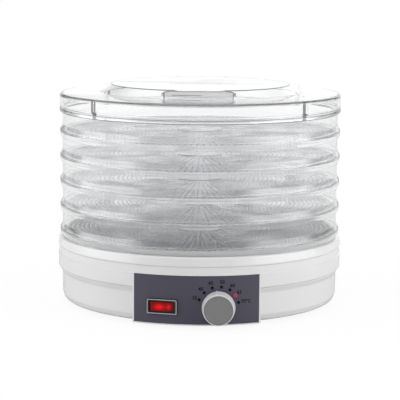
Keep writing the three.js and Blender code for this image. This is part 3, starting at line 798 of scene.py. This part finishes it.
def build_lower_shell():
    top = SEAM - SEAM_GAP
    outline = rounded(
        [
            (0, 3.5),
            (148.5, 3.5, 3),
            (155.2, 5.4, 5),
            (157.7, 12, 6),
            (PAN_RADIUS, top - 5.8, 3),
            (PAN_RADIUS + 3, top - 1, 1),
            (PAN_RADIUS + 3, top),
            (PAN_RADIUS - 2.5, top),
            (PAN_RADIUS - 2.5, 12.5, 4),
            (152.2, 7.6, 3),
            (147.5, 6),
            (0, 6),
        ]
    )
    shell = lathe("lower_shell", outline, MATERIALS["white_shell"])
    boolean(shell, frame_cutter(20, SEAM + 2, PAN_RADIUS + 0.1), "DIFFERENCE")
    cut_slots(shell, box_outline(1.8, 23, 49, 1.75), -8, 0, first=SLOT_PITCH // 2)
    reshade(shell)
    place(shell, "base", "white_shell", "base_lower_shell")


def build_frame():
    outline = box_outline(arc_length(FRAME_HALF_ANGLE), FRAME_BOTTOM, FRAME_TOP, 0.6)
    surround = plate("panel_surround", outline, -BASE_RADIUS, -158.2)
    seat_outline = box_outline(arc_length(PANEL_HALF_ANGLE + 0.06), PANEL_BOTTOM - 0.2, FRAME_TOP + 2, 0.4)
    seat = plate("seat", seat_outline, -BASE_RADIUS - 5, -160.2)
    boolean(surround, seat, "DIFFERENCE")
    bevel(surround, 0.12)
    wrap(surround)
    recolor(surround, MATERIALS["white_shell"])
    reshade(surround)
    place(surround, "base", "white_shell", "panel_frame")


def build_panel():
    outline = box_outline(arc_length(PANEL_HALF_ANGLE), PANEL_BOTTOM, PANEL_TOP, 0.5)
    panel = plate("panel_face", outline, -BASE_RADIUS, -160.5)
    bevel(panel, 0.3)
    wrap(panel, 1)
    recolor(panel, MATERIALS["slate_panel"])
    reshade(panel)
    place(panel, "base", "slate_panel", "control_panel")


build_upper_shell()
build_lower_shell()
build_frame()
build_panel()


# ---- Dial marks ----

DIAL_MARKS = ((-68, "35"), (-44, "40"), (-18, "45"), (8, "50"), (33, "60"), (55.5, "65"), (78, "70°C"))
DOT_CIRCLE = 22.3
DOT_RADIUS = 1.7
DOT_STEPS = 24
RED_NUMBER = "65"
RED_DOT_RADIUS = 2.2
NUMBER_CIRCLE = 27.6
NUMBER_SIZE = 5.4
NUMBER_WEIGHT = 0.1
UNIT_SHIFT = 3.2  # the last number makes room for its unit, so that its figures stay over their dot


def on_dial(degrees, radius):
    turn = math.radians(degrees)
    return KNOB_X + radius * math.sin(turn), CONTROL_HEIGHT + radius * math.cos(turn)


def build_dial_dot(name, degrees, radius, ink):
    x, z = on_dial(degrees, DOT_CIRCLE)
    turns = [2 * math.pi * k / DOT_STEPS for k in range(DOT_STEPS)]
    outline = [(x + radius * math.sin(turn), z + radius * math.cos(turn)) for turn in turns]
    dot = plate(name, outline, -BASE_RADIUS - 0.06, -BASE_RADIUS + 0.1, ink)
    wrap(dot)
    place(dot, "base", "slate_panel")


def build_dial_number(number, degrees, shift):
    text = bpy.data.curves.new(f"number_{number}", "FONT")
    text.body = number
    text.size = NUMBER_SIZE * MM
    text.extrude = 0.05 * MM
    text.offset = NUMBER_WEIGHT * MM
    text.align_x = "CENTER"
    text.align_y = "CENTER"
    source = add_object("number_source", text)
    mesh = bpy.data.meshes.new_from_object(source)
    bpy.data.objects.remove(source)
    mesh.transform(QUARTER_TURN)
    x, z = on_dial(degrees, NUMBER_CIRCLE)
    mesh.transform(Matrix.Translation(((x + shift) * MM, -BASE_RADIUS * MM, z * MM)))
    label = add_object(f"dial_number_{number[:2]}", mesh)
    recolor(label, INK)
    wrap(label)
    place(label, "base", "slate_panel")


def build_dial_marks():
    """Dots and generic numbers, printed on the panel round the knob."""
    for i, (degrees, number) in enumerate(DIAL_MARKS):
        radius, ink = (RED_DOT_RADIUS, RED_INK) if number == RED_NUMBER else (DOT_RADIUS, INK)
        build_dial_dot(f"dial_dot_{i + 1}", degrees, radius, ink)
        build_dial_number(number, degrees, UNIT_SHIFT if "°" in number else 0)


build_dial_marks()


# ---- Rocker switch ----

SWITCH_PLACE = (
    Matrix.Translation((0, AXIS_Y * MM, 0))
    @ Matrix.Rotation(SWITCH_ANGLE, 4, "Z")
    @ Matrix.Translation((0, -SWITCH_FRONT * MM, CONTROL_HEIGHT * MM))
)
ROCKER_HALF = 12.4
ROCKER_RISE = 4.9  # half its height
ROCKER_TILT = 9


def build_switch():
    housing = plate("switch_bezel", centred_outline(16.7, 8.1, 1.6), 0, 2)
    boolean(housing, plate("body", centred_outline(14.6, 6.4, 0.8), 1.5, 22), "UNION")
    boolean(housing, plate("well", centred_outline(14.0, 5.9, 0.6), -1, 9.4), "DIFFERENCE")
    bevel(housing, 0.35)
    housing.data.transform(SWITCH_PLACE)
    recolor(housing, MATERIALS["black_plastic"])
    reshade(housing)
    place(housing, "base", "black_plastic", "switch_body")

    # A thin light grey rim round the bezel paints the highlight along its bevel.
    rim = plate("switch_highlight_rim", centred_outline(16.4, 7.8, 1.4), -0.12, 0.4)
    boolean(rim, plate("highlight_rim_opening", centred_outline(15.6, 7.0, 1.0), -1, 1), "DIFFERENCE")
    rim.data.transform(SWITCH_PLACE)
    recolor(rim, BEZEL_HIGHLIGHT_GREY)
    reshade(rim)
    place(rim, "base", "black_plastic")


def build_rocker():
    """The rocker at rest is tipped with its right end pressed in; its two faces meet in a soft crest."""
    half = ROCKER_HALF
    depths = [(-half, -3.4), (-half / 2, -4.35), (0, -4.9), (half / 2, -4.35), (half, -3.4)]
    back = [(half, 1), (4, 4), (-4, 4), (-half, 1)]
    bm = bmesh.new()
    face = bm.faces.new([bm.verts.new((x, y, -ROCKER_RISE)) for x, y in depths + back])
    extrude(bm, face, (0, 0, 2 * ROCKER_RISE))
    rocker = finish_mesh("rocker", bm, MATERIALS["rocker_red"])
    bevel(rocker, 0.5, 4, 25)
    tilt = Matrix.Rotation(math.radians(ROCKER_TILT), 4, "Z")
    rocker.data.transform(SWITCH_PLACE @ (Matrix.Translation((0, ROCKER_PIVOT_DEPTH * MM, 0)) @ tilt))
    reshade(rocker, 40)
    place(rocker, "rocker", "rocker_red", "switch_rocker")


build_switch()
build_rocker()


# ---- Knob ----

KNOB_BACK = -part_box("knob_body")[1].y / MM  # distance of the knob's back in front of the origin
KNOB_FRONT = -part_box("knob_body")[0].y / MM
POINTER_ANGLE = -7
POINTER_OUTLINE = rounded([(-1, 16.2), (1, 16.2), (1, 18.8, 0.9), (-1, 18.8, 0.9)])


def lathe_forward(name, outline, material):
    """Turns an outline of (radius, distance in front) points about the dial's own line."""
    piece = lathe(name, outline, material, 96, (0, 0))
    piece.data.transform(DIAL_PLACE @ QUARTER_TURN)
    return piece


def build_knob():
    back, front = KNOB_BACK, KNOB_FRONT
    outline = rounded(
        [
            (18, back, 0.3),
            (18, back + 2.2, 0.8),
            (16.7, front - 1, 1.2),
            (16.2, front, 0.25),
            (15.75, front, 0.15),
            (15.7, front - 1.6),
            (0, front - 1.6),
            (0, front - 4),
            (3.3, front - 4),
            (3.3, back + 3.5),
            (6.5, back + 3.5),
            (6.5, front - 4),
            (14.5, front - 4),
            (16, back),
        ]
    )
    knob = lathe_forward("knob_skirt", outline, MATERIALS["knob_ring"])
    pointer = plate("pointer", POINTER_OUTLINE, -back - 12, -back - 0.1)
    pointer.data.transform(DIAL_PLACE @ Matrix.Rotation(math.radians(POINTER_ANGLE), 4, "Y"))
    boolean(knob, pointer, "UNION")
    recolor(knob, MATERIALS["knob_ring"])
    reshade(knob, 30)
    place(knob, "knob", "knob_ring", "knob_body")

    low, high = front - 1.3, front - 0.3
    outline = rounded([(0, low), (15.4, low), (15.4, high, 0.4), (0, high)])
    face = lathe_forward("knob_face_disc", outline, MATERIALS["knob_face"])
    reshade(face)
    place(face, "knob", "knob_face", "knob_face")


build_knob()


# ---- Heater coils, grille, gland and feet ----

COIL_TURNS = (56, 88)
WIRE_RADIUS = 0.35
POINTS_PER_TURN = 10
SMALL_STEPS_ROUND = 48  # steps round the gland and the feet


def build_coils():
    """Resistance wire wound into a coil that runs round the mica cross."""
    for i, turns in enumerate(COIL_TURNS, 1):
        low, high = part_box(f"heater_coil_{i}")
        centre = (low + high) / 2
        ring = (high.x - low.x) / 2 - (high.z - low.z) / 2
        coil = (high.z - low.z) / 2 - WIRE_RADIUS * MM
        curve = bpy.data.curves.new(f"heater_winding_{i}", "CURVE")
        curve.dimensions = "3D"
        curve.bevel_depth = WIRE_RADIUS * MM
        curve.bevel_resolution = 1
        steps = turns * POINTS_PER_TURN
        spline = curve.splines.new("POLY")
        spline.points.add(steps - 1)
        spline.use_cyclic_u = True
        for k in range(steps):
            round_ring = 2 * math.pi * k / steps
            round_coil = round_ring * turns
            radius = ring + coil * math.cos(round_coil)
            x = centre.x + radius * math.sin(round_ring)
            y = centre.y - radius * math.cos(round_ring)
            spline.points[k].co = (x, y, centre.z + coil * math.sin(round_coil), 1)
        winding = add_object(f"heater_winding_{i}", curve)
        curve.materials.append(MATERIALS["heating_wire"])
        place(winding, "base", "heating_wire", f"heater_coil_{i}")


def build_grille():
    """Shallow slotted dome over the warm-air outlet."""
    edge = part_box("outlet_grille")[0].z / MM - 0.4
    outline = rounded(
        [
            (0, edge + 4.7),
            (40, edge + 4.4, 20),
            (58, edge + 3.4, 8),
            (68, edge + 0.7, 0.2),
            (68, edge + 0.4),
            (56, edge + 1.2, 6),
            (40, edge + 2.4, 20),
            (0, edge + 2.7),
        ]
    )
    grille = lathe("outlet_dome", outline, MATERIALS["white_shell"], 180)
    cut_slots(grille, box_outline(1.7, 23, 53, 1.65), 0, 12, lift=edge + 8)
    reshade(grille)
    place(grille, "base", "white_shell", "outlet_grille")


def build_gland():
    """Strain-relief gland at the back: a flange and a collar."""
    low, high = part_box("cord_gland")
    end = high.y / MM - AXIS_Y
    wall = PAN_RADIUS
    outline = rounded(
        [
            (3.6, end, 0.4),
            (5, end, 0.8),
            (6.4, wall + 3.6, 0.6),
            (9, wall + 3.2, 0.8),
            (9, wall + 0.4, 0.3),
            (6, wall + 0.4),
            (6, wall - 8),
            (3.6, wall - 8),
        ]
    )
    gland = lathe("gland_collar", outline, MATERIALS["rubber"], SMALL_STEPS_ROUND, (0, 0))
    turn = Matrix.Rotation(math.radians(-90), 4, "X")
    gland.data.transform(Matrix.Translation((0, AXIS_Y * MM, (low.z + high.z) / 2)) @ turn)
    reshade(gland)
    place(gland, "base", "rubber", "cord_gland")


def build_feet():
    for i in range(1, 5):
        low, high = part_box(f"foot_{i}")
        centre = (low + high) / 2 / MM
        top = high.z / MM
        outline = rounded(
            [(0, 0.5), (7, 0.5, 0.3), (7.6, 0, 0.3), (9.4, 0, 0.8), (10.5, 1.2, 0.8), (10.5, top), (0, top)]
        )
        foot = lathe(f"foot_pad_{i}", outline, MATERIALS["rubber"], SMALL_STEPS_ROUND, (centre.x, centre.y))
        reshade(foot)
        place(foot, "base", "rubber", f"foot_{i}")


build_coils()
build_grille()
build_gland()
build_feet()


# ---- Floor, light and camera ----

FLOOR_HALF = 80000
FLOOR_HEIGHT = -0.0003  # metres; just under the feet
FLOOR_ALBEDO = 0.64
BURNT_OUT = 1.04
BURNT_OUT_SHARE = 0.88

# How bright the studio is low down, by the angle from straight ahead in degrees: a dark front, two long
# soft boxes at the sides, a darker gap beyond each and a white sweep behind.
STUDIO_RING = (
    (0, 0.26),
    (38, 0.3),
    (60, 2.5),
    (104, 2.5),
    (120, 0.25),
    (150, 0.25),
    (166, 1.1),
    (180, 1.1),
)
STUDIO_TOP = 1.2
STUDIO_RISE = (0.5, 0.85)  # sines of the heights between which the ring gives way to the top
STUDIO_TURN = 5  # degrees that the whole ring is turned to the right
STUDIO_PEAK = max(level for degrees, level in STUDIO_RING)

CAMERA_LENS = 148.3
CAMERA_ROLL = 0.38
CAMERA_PLACE = Vector((0.0328, AXIS_Y * MM - 1.8791, 0.3992))  # metres
CAMERA_AIM = Vector((0.00046, AXIS_Y * MM, 0.1147))


def build_floor():
    """Pale paper, burnt out to white where it is seen straight or through clear plastic."""
    bm = bmesh.new()
    bmesh.ops.create_grid(bm, x_segments=1, y_segments=1, size=FLOOR_HALF)
    floor = finish_mesh("floor", bm, None)
    floor.location.z = FLOOR_HEIGHT
    material = new_material("floor_paper", [FLOOR_ALBEDO] * 3, 0.9, Specular_IOR_Level=0.0)
    burnt_out = add_node(material, "ShaderNodeEmission", Strength=BURNT_OUT)
    path = add_node(material, "ShaderNodeLightPath")
    rays = (path.outputs["Is Camera Ray"], path.outputs["Is Transmission Ray"])
    share = calculate(material, "MULTIPLY", calculate(material, "MAXIMUM", *rays), BURNT_OUT_SHARE)
    mix = add_node(material, "ShaderNodeMixShader")
    for entry, output in zip(mix.inputs, (share, shader_of(material).outputs[0], burnt_out.outputs[0])):
        join(material, output, entry)
    join(material, mix.outputs[0], material.node_tree.nodes["Material Output"].inputs["Surface"])
    floor.data.materials.append(material)


def build_world():
    """The studio as light from all round: the ring low down and an even top."""
    world = bpy.data.worlds.new("studio")
    bpy.context.scene.world = world
    world.use_nodes = True
    direction = add_node(world, "ShaderNodeTexCoord")
    parts = add_node(world, "ShaderNodeSeparateXYZ")
    join(world, direction.outputs["Generated"], parts.inputs[0])
    ahead = calculate(world, "MULTIPLY", parts.outputs["Y"], -1)
    angle = calculate(world, "ARCTAN2", parts.outputs["X"], ahead)
    turned = calculate(world, "ADD", angle, math.radians(STUDIO_TURN))
    share = calculate(world, "DIVIDE", calculate(world, "ABSOLUTE", turned), math.pi)
    ramp = add_node(world, "ShaderNodeValToRGB")
    join(world, share, ramp.inputs["Fac"])
    ramp.color_ramp.interpolation = "EASE"
    stops = ramp.color_ramp.elements
    while len(stops) < len(STUDIO_RING):
        stops.new(0.5)
    for stop, (degrees, level) in zip(stops, STUDIO_RING):
        stop.position = degrees / 180
        stop.color = (*[level / STUDIO_PEAK] * 3, 1)
    height = map_range(world, parts.outputs["Z"], STUDIO_RISE, (0, 1), interpolation_type="SMOOTHSTEP")
    color = mix_colors(world, height, ramp.outputs["Color"], [STUDIO_TOP / STUDIO_PEAK] * 3)
    background = world.node_tree.nodes["Background"]
    background.inputs["Strength"].default_value = STUDIO_PEAK
    join(world, color, background.inputs["Color"])


def build_camera():
    camera = bpy.data.cameras.new("camera")
    camera.sensor_width = 36
    camera.lens = CAMERA_LENS
    camera.clip_end = 200
    holder = add_object("camera", camera)
    holder.location = CAMERA_PLACE
    roll = Matrix.Rotation(math.radians(CAMERA_ROLL), 3, "Z")
    look = (CAMERA_AIM - CAMERA_PLACE).to_track_quat("-Z", "Y").to_matrix()
    holder.rotation_euler = (look @ roll).to_euler()
    bpy.context.scene.camera = holder


build_floor()
build_world()
build_camera()

scene = bpy.context.scene
scene.view_settings.view_transform = "Standard"
scene.cycles.max_bounces = 32
scene.cycles.transmission_bounces = 32
scene.cycles.glossy_bounces = 12
scene.cycles.diffuse_bounces = 4
scene.cycles.transparent_max_bounces = 32
scene.cycles.sample_clamp_indirect = 6
